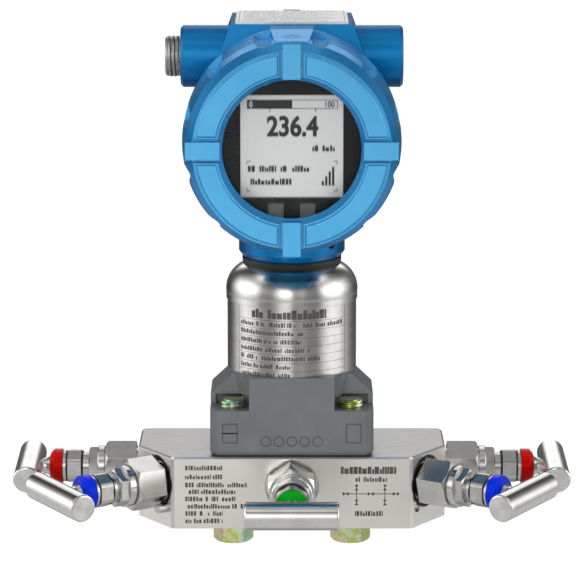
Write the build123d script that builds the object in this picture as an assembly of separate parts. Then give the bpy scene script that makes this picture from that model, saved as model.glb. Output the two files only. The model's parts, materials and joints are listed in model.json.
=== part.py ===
from build123d import *
import math
import os

# Differential pressure transmitter on a five-valve manifold block.
# Millimetres. The front, with the display, looks along -Y, and +Z is up.
# Everything is drawn about the sensor module's axis, then moved along Y so that
# the origin lies under the middle of the whole instrument, at its bolt heads.

# Bolts that clamp block, gasket and flange together
bolt_r = 5.55
bolt_head_af = 15.9
bolt_head_height = 7.1
bolt_half_x = 27.0
bolt_half_y = 20.65
bolt_length = 59.6
bolt_hole_gap = 0.35
thread_gap = 0.05
bolt_lead = 1.0
bolt_head_bevel = 0.8

# Manifold block
block_height = 33.6
block_front_half = 55.0
block_half_width = 71.3
block_front_y = 29.0
block_rear_y = 29.0
block_facet_y = 5.3
block_edge = 0.9
block_corner = 1.0
block_rear_r = 3.0
port_half_x = 27.0
port_r = 10.65
port_depth = 20.0
passage_r = 2.5
outlet_half_x = 13.0
bracket_hole_r = 4.75
bracket_hole_depth = 13.0
bracket_half_x = 42.0

# Needle valves
isolate_axis_y = 11.3
isolate_axis_drop = 14.1
vent_axis_drop = 13.6
vent_place = 0.44
seat_recess_r = 12.2
seat_recess_depth = 2.0
bonnet_shank_r = 8.0
bonnet_shank_length = 17.5
bonnet_neck_r = 8.6
bonnet_neck_length = 1.6
bonnet_hex_af = 20.9
bonnet_hex_length = 14.4
hex_bevel_part = 0.8
corner_up = 30.0
collar_groove = 0.4
bonnet_collar_r = 9.5
bonnet_collar_length = 3.4
barrel_r = 4.9
barrel_length = 7.6
lock_nut_af = 15.8
lock_nut_length = 4.2
nut_bevel_part = 0.6
gland_foot_r = 6.3
gland_foot_length = 2.9
gland_core_r = 6.0
gland_af = 14.2
gland_corner_r = 7.7
gland_length = 6.4
gland_ring_width = 0.8
gland_lip_r = 7.3
gland_lip_length = 1.3
gland_ring_r = 7.3
spigot_length = 2.0
packing_r = 4.3
packing_length = 4.0
stem_r = 2.9
stem_gap = 0.05
hub_r = 5.6
hub_neck_r = 3.8
hub_cone_length = 3.0
tip_r = 3.0
tip_length = 7.0
tip_point = 2.4
cap_r = 8.1
cap_length = 4.6
cap_edge = 1.2
cap_recess_depth = 2.6
cap_gap = 0.3
handle_reach = 52.1
handle_r = 6.35
handle_length = 42.0
handle_edge = 1.0
isolate_handle_tilt = 4.5
vent_handle_tilt = 2.5
handle_hole_depth = 4.0
press_gap = 0.02
pin_r = 2.2
pin_offset = 7.6
pin_drop = 11.1
left_pin_proud = 5.0
right_pin_sunk = 1.5
pin_socket_depth = 5.5

# Flange and gasket
gasket_thickness = 1.0
flange_height = 36.3
flange_half_width = 37.4
flange_half_depth = 30.0
flange_corner_r = 4.5
flange_foot_bevel = 1.6
gasket_margin = 1.8
flange_rib_half = 19.5
pocket_floor = 21.0
pocket_back_y = 14.5
pocket_cut = 3.6
pocket_top_cut = 6.6
undercut_height = 4.6
undercut_depth = 3.5
undercut_x = 35.0
shoulder_drop = 10.5
shoulder_run = 11.3
seat_ring_height = 9.0
seal_outer_r = 11.0
seal_inner_r = 8.6
seal_thickness = 1.5

# Sensor module
module_r = 29.8
module_cap_r = 30.3
module_wall = 2.6
module_skirt = 32.3
module_cap_side = 2.7
module_shoulder_rise = 13.3
module_shoulder_r = 22.4
base_thickness = 8.0
fit_gap = 0.1
diaphragm_r = 8.0
diaphragm_thickness = 0.3
diaphragm_recess = 0.5
capsule_r = 18.0
capsule_height = 17.0
capsule_edge_r = 2.0
board_r = 24.0
board_thickness = 1.6
chip_width = 16.0
chip_height = 2.0
chip_y = -4.0
part_width = 6.0
part_length = 14.0
part_height = 3.0
part_x = 13.0
stub_r = 14.0
stub_bore_r = 8.0
stub_height = 14.0
connector_height = 12.0
connector_proud = 1.5
neck_ring_r = 20.8
neck_ring_height = 2.0
shoulder_bend = 0.3
shoulder_lift = 0.68

# Housing
neck_length = 18.7
barrel_outer_r = 44.0
barrel_inner_r = 38.0
barrel_half = 36.0
thread_r = 41.5
thread_length = 13.0
partition_half = 4.0
neck_r = 24.4
neck_bottom_r = 21.2
neck_bevel = 4.2
neck_bore_r = 9.0
neck_bore_rise = 6.0
stub_clearance = 0.5
boss_rise = 30.8
boss_r = 14.1
boss_half = 50.5
boss_edge = 1.2
entry_r = 10.0
entry_depth = 16.0
entry_inner_r = 7.0
entry_inner_end = 20.0
pad_half_x = 27.6
pad_front_y = 22.0
pad_rear_y = 30.0
pad_top = 48.6
pad_flare_x = 9.5
pad_flare_y = 5.0
pad_depth = 26.0
plate_thickness = 1.0
plate_margin = 2.2
plate_margin_y = 0.7
set_screw_r = 2.5
set_screw_angle = -42.0
set_screw_rise = 5.5
set_screw_start = 0.3
set_screw_sunk = 1.2
lock_screw_r = 2.0
lock_head_r = 3.3
lock_head_length = 2.6
lock_screw_length = 13.0
lock_socket_af = 3.0
lock_thread_end = 2.0
lock_angle = 33.0
lock_axis_r = 48.5
lock_lug_half = 4.2
lock_lug_length = 12.0
lock_lug_root = 2.0

# Covers
cover_gap = 0.1
cover_seal_gap = 3.0
thread_end_gap = 1.0
rear_edge = 1.0
front_face_y = 88.0
cover_r = 48.2
cover_shoulder_y = 60.0
cover_bend_y = 72.0
cover_bend_r = 47.5
cover_taper_y = 80.0
cover_taper_r = 46.1
band_outer_r = 42.2
band_inner_r = 32.3
band_step = 1.4
band_root = 0.8
window_bevel_part = 0.9
window_r = 30.1
lip_thickness = 5.0
glass_r = 35.0
glass_thickness = 5.0
retainer_outer_r = 38.5
retainer_inner_r = 33.0
retainer_thickness = 3.0
cover_bore_r = 39.8
lug_inner_r = 31.0
lug_outer_r = 46.0
lug_width = 7.8
lug_proud = 1.2
lug_groove = 2.2
lug_groove_width = 1.3
lug_groove_r = 45.3
notch_count = 12
notch_r = 5.9
notch_depth = 2.8
notch_start = 6.0
flat_rear_y = 40.0
flat_bend_y = 54.0
flat_z = 48.9
flat_front_z = 46.5
flat_rear_half = 9.6
flat_front_half = 7.3
flat_root = 42.0
rear_cover_r = 45.4
rear_face_y = 58.0
rear_wall = 4.0
rear_side_end = 6.0
rear_dish = 1.5

# Display and electronics
bezel_r = 36.5
bezel_front_y = 73.5
bezel_rear_y = 50.0
screen_half = 22.3
screen_thickness = 1.6
screen_gap = 0.1
screen_sunk = 0.1
screen_clip = 2.2
button_width = 6.6
button_height = 7.4
button_offset = 6.9
button_top = 25.3
button_proud = 0.8
button_depth = 6.0
button_gap = 0.25
button_back_gap = 1.5
electronics_r = 34.0
terminal_r = 33.0
terminal_thickness = 16.0
terminal_screw_r = 3.0
terminal_screw_proud = 1.6
terminal_hole_depth = 6.0
terminal_hole_floor = 0.5
terminal_slot_depth = 1.0
terminal_slot_half = 0.4
terminal_pitch = 14.0
plug_stick_out = 7.0
plug_head_r = 9.0
plug_lead = 0.8
plug_inside = 11.0
plug_key_af = 9.9
plug_bore_depth = 9.0
ground_screw_r = 3.4
ground_screw_length = 9.0
ground_head_height = 2.6
ground_slot_depth = 1.0
ground_slot_half = 0.5
ground_pad_r = 6.0
ground_pad_rise = 1.5
ground_y = 18.0
ground_angle = 205.0

# Levels worked out from the sizes above
block_bottom = bolt_head_height
block_top = block_bottom + block_height
gasket_top = block_top + gasket_thickness
flange_top = gasket_top + flange_height
module_step = flange_top + module_skirt
shoulder_start = module_step + module_cap_side
shoulder_top = shoulder_start + module_shoulder_rise
neck_bottom = shoulder_top + neck_ring_height
axis_height = neck_bottom + neck_length + barrel_outer_r
cover_rear_y = barrel_half + cover_seal_gap
isolate_axis_z = block_top - isolate_axis_drop
vent_axis_z = block_top - vent_axis_drop
rear_reach = rear_face_y + lug_proud
front_reach = front_face_y + lug_proud
centre_shift = (front_reach - rear_reach) / 2
boss_z = axis_height + boss_rise


def save(name, shape):
    shape = Pos(0, centre_shift, 0) * shape
    solids = shape.solids()
    body = solids[0] if len(solids) == 1 else Compound(children=list(solids))
    export_step(body, os.path.join("parts", name + ".step"))


def turned(points):
    outline = Polyline(*[(r, 0, z) for r, z in points], close=True)
    return revolve(make_face(outline), Axis.Z)


def rod(radius, low, high):
    return Pos(0, 0, low) * extrude(Circle(radius), high - low)


def tube(outer, inner, low, high):
    return Pos(0, 0, low) * extrude(Circle(outer) - Circle(inner), high - low)


def hexagon(across_flats, low, high, turn=0.0):
    outline = RegularPolygon(across_flats / 2, 6, major_radius=False, rotation=turn)
    return Pos(0, 0, low) * extrude(outline, high - low)


def slab(x0, x1, y0, y1, z0, z1):
    middle = ((x0 + x1) / 2, (y0 + y1) / 2, (z0 + z1) / 2)
    return Pos(*middle) * Box(x1 - x0, y1 - y0, z1 - z0)


def both_sides(shape):
    return [shape, mirror(shape, Plane.YZ)]


# Where each valve sits: a point on the block's wall, the way that it looks,
# the tilt of its handle and the turn of its hexagon
facet_run = block_half_width - block_front_half
facet_rise = block_front_y - block_facet_y
facet_turn = math.degrees(math.atan2(facet_run, facet_rise))
facet_x = block_front_half + facet_run * vent_place
facet_y = -(block_front_y - facet_rise * vent_place)
valve_places = {
    "left_isolate": (-block_half_width, isolate_axis_y, isolate_axis_z, 180, -isolate_handle_tilt, 0),
    "right_isolate": (block_half_width, isolate_axis_y, isolate_axis_z, 0, isolate_handle_tilt, 0),
    "left_vent": (-facet_x, facet_y, vent_axis_z, 180 + facet_turn, -vent_handle_tilt, 10),
    "right_vent": (facet_x, facet_y, vent_axis_z, -facet_turn, vent_handle_tilt, 14),
    "equalize": (0, -block_front_y, vent_axis_z, -90, 0, 4),
}


def at_valve(name):
    x, y, z, turn = valve_places[name][:4]
    angle = math.radians(turn)
    outward = (math.cos(angle), math.sin(angle), 0)
    sideways = (-math.sin(angle), math.cos(angle), 0)
    return Plane(origin=(x, y, z), x_dir=sideways, z_dir=outward).location


# Distances along a valve from the block's wall
hex_end = bonnet_neck_length + bonnet_hex_length
collar_start = hex_end + collar_groove
collar_end = collar_start + bonnet_collar_length
barrel_end = collar_end + barrel_length
nut_end = collar_end + lock_nut_length
foot_end = nut_end + gland_foot_length
sleeve_start = foot_end + gland_ring_width
sleeve_end = sleeve_start + gland_length
lip_start = sleeve_end + gland_ring_width
gland_end = lip_start + gland_lip_length
cap_start = gland_end + cap_gap
cap_end = cap_start + cap_length
tip_start = -(bonnet_shank_length + tip_point)
stem_start = tip_start + tip_point + tip_length


def valve_cavity():
    shank = rod(bonnet_shank_r + thread_gap, -bonnet_shank_length, 1)
    seat = rod(tip_r + stem_gap, tip_start, -bonnet_shank_length)
    recess = rod(seat_recess_r, -seat_recess_depth, 1)
    return shank + seat + recess


def bonnet(turn):
    shank = rod(bonnet_shank_r, -bonnet_shank_length, -seat_recess_depth)
    neck = rod(bonnet_neck_r, -seat_recess_depth, bonnet_neck_length)
    nut = hexagon(bonnet_hex_af, bonnet_neck_length, hex_end, corner_up + turn)
    corner = bonnet_hex_af / math.sqrt(3)
    bevel = corner - bonnet_hex_af / 2
    turned_nut = turned([
        (0, bonnet_neck_length),
        (corner, bonnet_neck_length),
        (corner, hex_end - bevel * hex_bevel_part),
        (bonnet_hex_af / 2, hex_end),
        (0, hex_end),
    ])
    groove = rod(bonnet_neck_r, hex_end, collar_start)
    collar = rod(bonnet_collar_r, collar_start, collar_end)
    collar = chamfer(collar.edges().filter_by(GeomType.CIRCLE), collar_groove)
    barrel = rod(barrel_r, collar_end, barrel_end)
    body = shank + neck + (nut & turned_nut) + groove + collar + barrel
    return body - rod(tip_r + stem_gap, -bonnet_shank_length - 1, barrel_end + 1)


def lock_nut():
    nut = hexagon(lock_nut_af, collar_end, nut_end, corner_up)
    corner = lock_nut_af / math.sqrt(3)
    bevel = corner - lock_nut_af / 2
    turned_nut = turned([
        (0, collar_end),
        (corner, collar_end),
        (corner, nut_end - bevel * nut_bevel_part),
        (lock_nut_af / 2, nut_end),
        (0, nut_end),
    ])
    return (nut & turned_nut) - rod(barrel_r + thread_gap, collar_end - 1, nut_end + 1)


def gland():
    foot = rod(gland_foot_r, nut_end, foot_end)
    core = rod(gland_core_r, foot_end, gland_end + spigot_length)
    sleeve = hexagon(gland_af, sleeve_start, sleeve_end, corner_up)
    sleeve = sleeve & rod(gland_corner_r, sleeve_start, sleeve_end)
    lip = rod(gland_lip_r, lip_start, gland_end)
    body = foot + core + sleeve + lip
    body = body - rod(barrel_r + thread_gap, nut_end - 1, barrel_end + fit_gap)
    body = body - rod(packing_r, barrel_end, barrel_end + fit_gap + packing_length)
    return body - rod(stem_r + stem_gap, barrel_end, gland_end + spigot_length + 1)


def valve_seals():
    low = barrel_end + fit_gap
    packing = tube(packing_r - thread_gap, stem_r + stem_gap, low, low + packing_length - fit_gap)
    inner = gland_core_r + thread_gap
    foot_ring = tube(gland_ring_r, inner, foot_end, sleeve_start)
    wiper = tube(gland_ring_r, inner, sleeve_end, lip_start)
    return [packing, foot_ring, wiper]


def stem():
    bar_side = handle_reach - handle_r
    hub = turned([
        (0, cap_end),
        (hub_r, cap_end),
        (hub_neck_r, cap_end + hub_cone_length),
        (hub_neck_r, bar_side),
        (0, bar_side),
    ])
    return rod(stem_r, stem_start, bar_side + handle_hole_depth) + hub


def tip():
    return turned([
        (0, tip_start),
        (tip_r, tip_start + tip_point),
        (tip_r, stem_start - press_gap),
        (0, stem_start - press_gap),
    ])


def cap():
    shell = rod(cap_r, cap_start, cap_end)
    shell = fillet(shell.edges().sort_by(Axis.Z)[-1], cap_edge)
    recess = rod(gland_core_r + 2 * cap_gap, cap_start - 1, cap_start + cap_recess_depth)
    return shell - recess - rod(stem_r + press_gap, cap_start - 1, cap_end + 1)


def handle(tilt):
    bar = extrude(Circle(handle_r), handle_length / 2, both=True)
    bar = fillet(bar.edges().filter_by(GeomType.CIRCLE), handle_edge)
    bar = Pos(0, 0, handle_reach) * Rot(0, 90, 0) * bar
    hole_end = handle_reach - handle_r + handle_hole_depth + press_gap
    bar = bar - rod(stem_r + press_gap, handle_reach - handle_r - 1, hole_end)
    return Rot(0, 0, tilt) * bar


def valves():
    glands = []
    nuts = []
    seals = []
    for name, place in valve_places.items():
        spot = at_valve(name)
        save(name + "_bonnet", spot * bonnet(place[5]))
        save(name + "_stem", spot * stem())
        save(name + "_tip", spot * tip())
        save(name + "_cap", spot * cap())
        save(name + "_handle", spot * handle(place[4]))
        nuts.append(spot * lock_nut())
        glands.append(spot * gland())
        seals.extend(spot * seal for seal in valve_seals())
    save("valve_lock_nuts", Compound(children=nuts))
    save("valve_glands", Compound(children=glands))
    save("valve_seals", Compound(children=seals))


def bolt_spots():
    return [(x, y) for x in (-bolt_half_x, bolt_half_x) for y in (-bolt_half_y, bolt_half_y)]


def drilled(shape, spots, radius, low, high):
    for x, y in spots:
        shape = shape - Pos(x, y, 0) * rod(radius, low, high)
    return shape


# A small pin beside each vent bonnet stops it from backing out of the block
pins = {"left_vent": (1, left_pin_proud), "right_vent": (-1, -right_pin_sunk)}


def pin_place(name):
    return at_valve(name) * Pos(pins[name][0] * pin_offset, -pin_drop, 0)


def manifold_block():
    outline = Polyline(
        (-block_front_half, -block_front_y),
        (block_front_half, -block_front_y),
        (block_half_width, -block_facet_y),
        (block_half_width, block_rear_y),
        (-block_half_width, block_rear_y),
        (-block_half_width, -block_facet_y),
        close=True,
    )
    block = Pos(0, 0, block_bottom) * extrude(make_face(outline), block_height)
    rear = block.edges().filter_by(Axis.Z).group_by(Axis.Y)[-1]
    block = fillet(rear, block_rear_r)
    front = block.edges().filter_by(Axis.Z).group_by(Axis.Y)[0]
    block = chamfer(front, block_corner)
    block = chamfer(block.faces().sort_by(Axis.Z)[-1].edges(), block_edge)
    hole_r = bolt_r + bolt_hole_gap
    block = drilled(block, bolt_spots(), hole_r, block_bottom - 1, block_top + 1)
    ports = [(-port_half_x, 0), (port_half_x, 0)]
    block = drilled(block, ports, port_r, block_bottom - 1, block_bottom + port_depth)
    outlets = [(-outlet_half_x, 0), (outlet_half_x, 0)]
    block = drilled(block, outlets, passage_r, vent_axis_z, block_top + 1)
    cross = Pos(0, 0, vent_axis_z) * Rot(0, 90, 0) * Cylinder(passage_r, 2 * port_half_x)
    block = block - cross
    block = block - slab(-passage_r, passage_r, -block_front_y + bonnet_shank_length, 0,
                         vent_axis_z - passage_r, vent_axis_z + passage_r)
    for name in valve_places:
        block = block - at_valve(name) * valve_cavity()
    for name in pins:
        block = block - pin_place(name) * rod(pin_r + press_gap, -pin_socket_depth, 1)
    for x in (-bracket_half_x, bracket_half_x):
        hole = Pos(x, block_rear_y, (block_bottom + block_top) / 2)
        block = block - hole * Rot(90, 0, 0) * rod(bracket_hole_r, -1, bracket_hole_depth)
    save("manifold_block", block)


def retaining_pins():
    drawn = [pin_place(name) * rod(pin_r, -pin_socket_depth, pins[name][1]) for name in pins]
    save("bonnet_pins", Compound(children=drawn))


def flange_bolts():
    bolts = []
    for x, y in bolt_spots():
        head = hexagon(bolt_head_af, 0, bolt_head_height, 0)
        corner = bolt_head_af / math.sqrt(3)
        head = head & turned([
            (0, 0),
            (bolt_head_af / 2, 0),
            (corner, bolt_head_bevel),
            (corner, bolt_head_height),
            (0, bolt_head_height),
        ])
        shank = rod(bolt_r, bolt_head_height, bolt_head_height + bolt_length)
        shank = chamfer(shank.edges().sort_by(Axis.Z)[-1], bolt_lead)
        bolts.append(Pos(x, y, 0) * (head + shank))
    save("flange_bolts", Compound(children=bolts))


def flange_plan(half_width, half_depth):
    return RectangleRounded(2 * half_width, 2 * half_depth, flange_corner_r)


def flange_gasket():
    plan = flange_plan(flange_half_width - gasket_margin, flange_half_depth - gasket_margin)
    sheet = Pos(0, 0, block_top) * extrude(plan, gasket_thickness)
    sheet = drilled(sheet, bolt_spots(), bolt_r + bolt_hole_gap, block_top - 1, gasket_top + 1)
    outlets = [(-outlet_half_x, 0), (outlet_half_x, 0)]
    save("flange_gasket", drilled(sheet, outlets, passage_r, block_top - 1, gasket_top + 1))


def pocket_plan(cut, z):
    reach_x = flange_half_width + 2
    reach_y = flange_half_depth + 2
    outline = Polyline(
        (flange_rib_half, -reach_y),
        (reach_x, -reach_y),
        (reach_x, -pocket_back_y),
        (flange_rib_half + cut, -pocket_back_y),
        (flange_rib_half, -pocket_back_y - cut),
        close=True,
    )
    return Pos(0, 0, z) * make_face(outline)


def pocket():
    # Open to the front and the side; its inner corner leans back towards the top
    low = gasket_top + pocket_floor
    cut = loft([pocket_plan(pocket_cut, low), pocket_plan(pocket_top_cut, flange_top)])
    undercut = slab(flange_rib_half, undercut_x, -pocket_back_y - 1, -pocket_back_y + undercut_depth,
                    low, low + undercut_height)
    return cut + undercut


def sensor_flange():
    plan = flange_plan(flange_half_width, flange_half_depth)
    body = Pos(0, 0, gasket_top) * extrude(plan, flange_height)
    body = chamfer(body.faces().sort_by(Axis.Z)[0].edges(), flange_foot_bevel)
    reach = shoulder_run + 2
    fall = reach * shoulder_drop / shoulder_run
    start = flange_half_width - shoulder_run
    wedge = Polyline(
        (start, 0, flange_top),
        (start + reach, 0, flange_top - fall),
        (start + reach, 0, flange_top + 1),
        (start, 0, flange_top + 1),
        close=True,
    )
    wedge = extrude(make_face(wedge), 2 * flange_half_depth, both=True)
    for side in both_sides(wedge):
        body = body - side
    body = body + rod(module_r, flange_top - seat_ring_height, flange_top)
    for front in both_sides(pocket()):
        body = body - front - mirror(front, Plane.XZ)
    body = drilled(body, bolt_spots(), bolt_r + thread_gap, gasket_top - 1, flange_top)
    outlets = [(-outlet_half_x, 0), (outlet_half_x, 0)]
    body = drilled(body, outlets, passage_r, gasket_top - 1, flange_top + 1)
    body = drilled(body, outlets, seal_outer_r + fit_gap, flange_top - seal_thickness, flange_top + 1)
    save("sensor_flange", body)


def seals_and_diaphragms():
    seals = []
    discs = []
    low = flange_top + diaphragm_recess - diaphragm_thickness
    seal = tube(seal_outer_r, seal_inner_r, flange_top - seal_thickness, flange_top)
    for x in (-outlet_half_x, outlet_half_x):
        seals.append(Pos(x, 0, 0) * seal)
        discs.append(Pos(x, 0, 0) * rod(diaphragm_r, low, low + diaphragm_thickness))
    save("process_seals", Compound(children=seals))
    save("isolating_diaphragms", Compound(children=discs))


def sensor_module():
    inner_r = module_r - module_wall
    stub_top = shoulder_top + stub_height
    outer = Polyline(
        (inner_r, 0, flange_top),
        (module_r, 0, flange_top),
        (module_r, 0, module_step),
        (module_cap_r, 0, module_step),
        (module_cap_r, 0, shoulder_start),
    )
    start = Vector(module_cap_r, 0, shoulder_start)
    end = Vector(module_shoulder_r, 0, shoulder_top)
    middle_r = module_cap_r - (module_cap_r - module_shoulder_r) * shoulder_bend
    middle = Vector(middle_r, 0, shoulder_start + module_shoulder_rise * shoulder_lift)
    shoulder = ThreePointArc(start, middle, end)
    inner = Polyline(
        end,
        (stub_r, 0, shoulder_top),
        (stub_r, 0, stub_top),
        (stub_bore_r, 0, stub_top),
        (stub_bore_r, 0, shoulder_top - module_wall),
        (module_shoulder_r - module_wall, 0, shoulder_top - module_wall),
        (inner_r, 0, shoulder_start),
        (inner_r, 0, flange_top),
    )
    save("module_shell", revolve(make_face([outer, shoulder, inner]), Axis.Z))
    base = rod(inner_r - fit_gap / 2, flange_top, flange_top + base_thickness)
    outlets = [(-outlet_half_x, 0), (outlet_half_x, 0)]
    base = drilled(base, outlets, diaphragm_r + fit_gap, flange_top - 1, flange_top + diaphragm_recess)
    base = drilled(base, outlets, passage_r / 2, flange_top, flange_top + base_thickness + 1)
    save("module_base", base)
    capsule_low = flange_top + base_thickness
    capsule_high = capsule_low + capsule_height
    capsule = rod(capsule_r, capsule_low, capsule_high)
    capsule = fillet(capsule.edges().filter_by(GeomType.CIRCLE), capsule_edge_r)
    save("sensor_capsule", capsule)
    board_top = capsule_high + board_thickness
    board = rod(board_r, capsule_high, board_top)
    chip = Box(chip_width, chip_width, chip_height)
    board = board + Pos(0, chip_y, board_top + chip_height / 2) * chip
    board = board + Pos(part_x, 0, board_top + part_height / 2) * Box(part_width, part_length, part_height)
    save("sensor_board", board)
    connector_top = stub_top + connector_proud
    connector = rod(stub_bore_r - fit_gap / 2, stub_top - connector_height, connector_top)
    save("module_connector", connector)
    save("neck_ring", tube(neck_ring_r, stub_r + fit_gap, shoulder_top, neck_bottom))


def along_y(shape):
    # A shape drawn about Z comes out about the housing's axis, its +Z towards the rear
    return Pos(0, 0, axis_height) * Rot(-90, 0, 0) * shape


def housing_body():
    barrel = along_y(rod(barrel_outer_r, -barrel_half, barrel_half))
    end = barrel_half + thread_length
    barrel = barrel + along_y(rod(thread_r, -end, end))
    neck = turned([
        (0, neck_bottom),
        (neck_bottom_r, neck_bottom),
        (neck_r, neck_bottom + neck_bevel),
        (neck_r, axis_height),
        (0, axis_height),
    ])
    boss = Pos(0, 0, boss_z) * Rot(0, 90, 0) * Cylinder(boss_r, 2 * boss_half)
    boss = chamfer(boss.edges().filter_by(GeomType.CIRCLE), boss_edge)
    pad_high = axis_height + pad_top - plate_thickness
    pad_middle = (pad_rear_y - pad_front_y) / 2
    pad_run = pad_front_y + pad_rear_y
    foot = Rectangle(2 * (pad_half_x + pad_flare_x), pad_run + pad_flare_y)
    low = Pos(0, pad_middle, pad_high - pad_depth) * foot
    high = Pos(0, pad_middle, pad_high) * Rectangle(2 * pad_half_x, pad_run)
    pad = loft([low, high])
    body = barrel + neck + boss + pad
    for side in (-1, 1):
        lug = Pos(0, -barrel_half + lock_lug_length / 2, lock_axis_r)
        lug = lug * Box(2 * lock_lug_half, lock_lug_length, 2 * lock_lug_half)
        lug = lug + slab(-lock_lug_half, lock_lug_half, -barrel_half, -barrel_half + lock_lug_length,
                         barrel_inner_r + lock_lug_root, lock_axis_r)
        body = body + Pos(0, 0, axis_height) * Rot(0, 180 + side * lock_angle, 0) * lug
    ground = Pos(0, ground_y, axis_height) * Rot(0, ground_angle - 180, 0)
    ground_pad = Rot(0, 90, 0) * Cylinder(ground_pad_r, 2 * ground_pad_rise)
    body = body + ground * Pos(-barrel_outer_r, 0, 0) * ground_pad
    body = body - along_y(rod(barrel_inner_r, -end - 1, -partition_half))
    body = body - along_y(rod(barrel_inner_r, partition_half, end + 1))
    stub_room = shoulder_top + stub_height + stub_clearance
    body = body - rod(stub_r + stem_gap, neck_bottom - 1, stub_room)
    body = body - rod(neck_bore_r, neck_bottom, axis_height - barrel_inner_r + neck_bore_rise)
    for side in (-1, 1):
        entry = Pos(side * boss_half, 0, boss_z) * Rot(0, -90 * side, 0)
        body = body - entry * rod(entry_r, -1, entry_depth)
        body = body - entry * rod(entry_inner_r, 0, boss_half - entry_inner_end)
    body = body - set_screw_place() * rod(set_screw_r + thread_gap, stub_r - 2, neck_r + 2)
    for place in lock_places():
        body = body - place * rod(lock_screw_r + thread_gap, 0, lock_screw_length)
    body = body - ground_place() * rod(ground_screw_r / 2 + thread_gap, -ground_screw_length, 3)
    save("housing_body", body)


def set_screw_place():
    level = Pos(0, 0, neck_bottom + neck_bevel + set_screw_rise)
    return level * Rot(0, 0, set_screw_angle) * Rot(0, 90, 0)


def lock_places():
    # The screw's axis runs along Y, its head towards the front cover
    places = []
    for side in (-1, 1):
        spin = Pos(0, 0, axis_height) * Rot(0, 180 + side * lock_angle, 0)
        places.append(spin * Pos(0, -barrel_half, lock_axis_r) * Rot(-90, 0, 0))
    return places


def ground_place():
    spin = Pos(0, ground_y, axis_height) * Rot(0, ground_angle - 180, 0)
    return spin * Pos(-barrel_outer_r - ground_pad_rise, 0, 0) * Rot(0, -90, 0)


def housing_screws():
    grub = rod(set_screw_r, stub_r + set_screw_start, neck_r - set_screw_sunk)
    save("rotation_set_screw", set_screw_place() * grub)
    screws = []
    for place in lock_places():
        screw = rod(lock_screw_r, 0, lock_screw_length - lock_thread_end)
        head = rod(lock_head_r, -lock_head_length, 0)
        head = head - hexagon(lock_socket_af, -lock_head_length, -lock_head_length / 2)
        screws.append(place * (screw + head))
    save("cover_lock_screws", Compound(children=screws))
    shank = rod(ground_screw_r / 2, -ground_screw_length + 1, 0)
    head = rod(ground_screw_r, 0, ground_head_height)
    head = head - slab(-ground_screw_r - 1, ground_screw_r + 1, -ground_slot_half, ground_slot_half,
                       ground_head_height - ground_slot_depth, ground_head_height + 1)
    save("ground_screw", ground_place() * (shank + head))


def name_plate():
    pad_high = axis_height + pad_top
    x = pad_half_x - plate_margin
    plate = slab(-x, x, -pad_front_y + plate_margin_y, pad_rear_y - plate_margin_y,
                 pad_high - plate_thickness, pad_high)
    save("top_plate", plate)


def conduit_plug():
    place = Pos(-boss_half, 0, boss_z) * Rot(0, -90, 0)
    head = rod(plug_head_r, 0, plug_stick_out)
    head = chamfer(head.edges().sort_by(Axis.Z)[-1], plug_lead)
    plug = rod(entry_r - thread_gap, -plug_inside, 0) + head
    plug = plug - hexagon(plug_key_af, plug_stick_out - plug_bore_depth, plug_stick_out + 1)
    save("conduit_plug", place * plug)


def cross_lugs(low, high):
    lug = slab(lug_inner_r, lug_outer_r, -lug_width / 2, lug_width / 2, low, high)
    return [Rot(0, 0, turn) * lug for turn in (0, 90, 180, 270)]


def lug_grooves(low, high, reach):
    grooves = []
    outer = lug_width / 2 + lug_groove_width
    pair = slab(band_inner_r - 1, reach, -outer, outer, low, high)
    pair = pair - slab(0, reach + 1, -lug_width / 2, lug_width / 2, low, high)
    for turn in (0, 90, 180, 270):
        grooves.append(Rot(0, 0, turn) * pair)
    return grooves


def grip_notches():
    # Scallops round the cover's side, which run out in its taper
    centre_r = cover_r - notch_depth + notch_r
    notch = Pos(centre_r, 0, 0) * rod(notch_r, cover_rear_y + notch_start, front_face_y)
    return [Rot(0, 0, 360 / notch_count * (index + 0.5)) * notch for index in range(notch_count)]


def top_flat():
    # A flat land on the cover's crest, which narrows towards the front
    plan = Polyline(
        (-flat_rear_half, flat_rear_y),
        (flat_rear_half, flat_rear_y),
        (flat_rear_half, flat_bend_y),
        (flat_front_half, cover_taper_y),
        (-flat_front_half, cover_taper_y),
        (-flat_rear_half, flat_bend_y),
        close=True,
    )
    side = Polyline(
        (0, flat_rear_y, flat_root),
        (0, flat_rear_y, flat_z),
        (0, flat_bend_y, flat_z),
        (0, cover_taper_y, flat_front_z),
        (0, cover_taper_y, flat_root),
        close=True,
    )
    land = Pos(0, 0, flat_root) * extrude(make_face(plan), flat_z)
    land = land & extrude(make_face(side), flat_rear_half, both=True)
    return mirror(land, Plane.XZ)


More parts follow.
